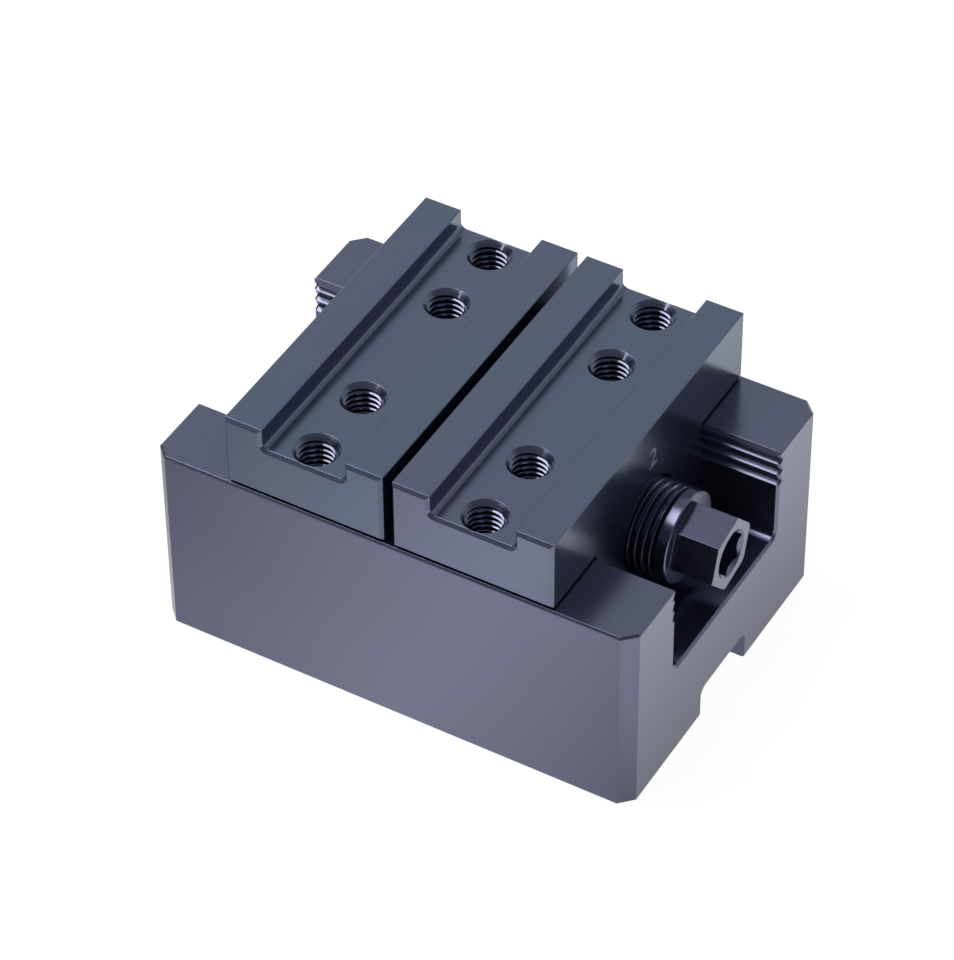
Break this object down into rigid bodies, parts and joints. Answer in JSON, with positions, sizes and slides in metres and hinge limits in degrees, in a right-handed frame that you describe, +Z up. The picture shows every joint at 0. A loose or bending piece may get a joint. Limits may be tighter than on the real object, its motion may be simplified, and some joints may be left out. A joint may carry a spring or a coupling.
{
  "type": "self-centering vise",
  "caption": "Low steel vise whose two ribbed jaws close together on a left- and right-hand screw in a slotted body, with tapped jaw tops and a hexagonal drive.",
  "frame": {"origin": "centre of the body's bottom face, where the vise rests", "axes": "+X along the lead screw towards the drive hexagon, +Y across the jaws, +Z up"},
  "size_m": [0.1007, 0.072, 0.0582],
  "materials": {
    "ground_black_oxide_steel": "ground and black-oxided, satin",
    "turned_screw_steel": "turned and black-oxided, satin",
    "black_fastener_steel": "black-oxided fasteners",
    "bearing_bronze": "machined bronze"
  },
  "bodies": {
    "base": {"base_body": "ground_black_oxide_steel", "bearing_block": "ground_black_oxide_steel", "bearing_cap": "ground_black_oxide_steel", "bearing_cap_screws": "black_fastener_steel", "bearing_shell_upper": "bearing_bronze", "bearing_shell_lower": "bearing_bronze", "thrust_washer_right": "bearing_bronze", "thrust_washer_left": "bearing_bronze", "block_bolts": "black_fastener_steel", "block_dowels": "black_fastener_steel"},
    "right_jaw": {"jaw_right": "ground_black_oxide_steel", "nut_right": "bearing_bronze", "nut_lock_screws_right": "black_fastener_steel"},
    "left_jaw": {"jaw_left": "ground_black_oxide_steel", "nut_left": "bearing_bronze", "nut_lock_screws_left": "black_fastener_steel"},
    "screw": {"lead_screw": "turned_screw_steel", "end_stop_washer": "turned_screw_steel", "end_stop_screw": "black_fastener_steel"}
  },
  "joints": [
    {"name": "screw_turn", "type": "hinge", "parent": "base", "child": "screw", "pos_m": [0, 0, 0.0345], "axis": [1, 0, 0], "range_deg": [-224, 3520]},
    {"name": "right_jaw_slide", "type": "slide", "parent": "base", "child": "right_jaw", "axis": [1, 0, 0], "range_m": [-0.0009, 0.0145]},
    {"name": "left_jaw_slide", "type": "slide", "parent": "base", "child": "left_jaw", "axis": [-1, 0, 0], "range_m": [-0.00094, 0.0147]}
  ],
  "couplings": [
    {"joint": "screw_turn", "follows": "right_jaw_slide", "rad_per_m": 4188.8},
    {"joint": "left_jaw_slide", "follows": "right_jaw_slide", "ratio": 1}
  ]
}
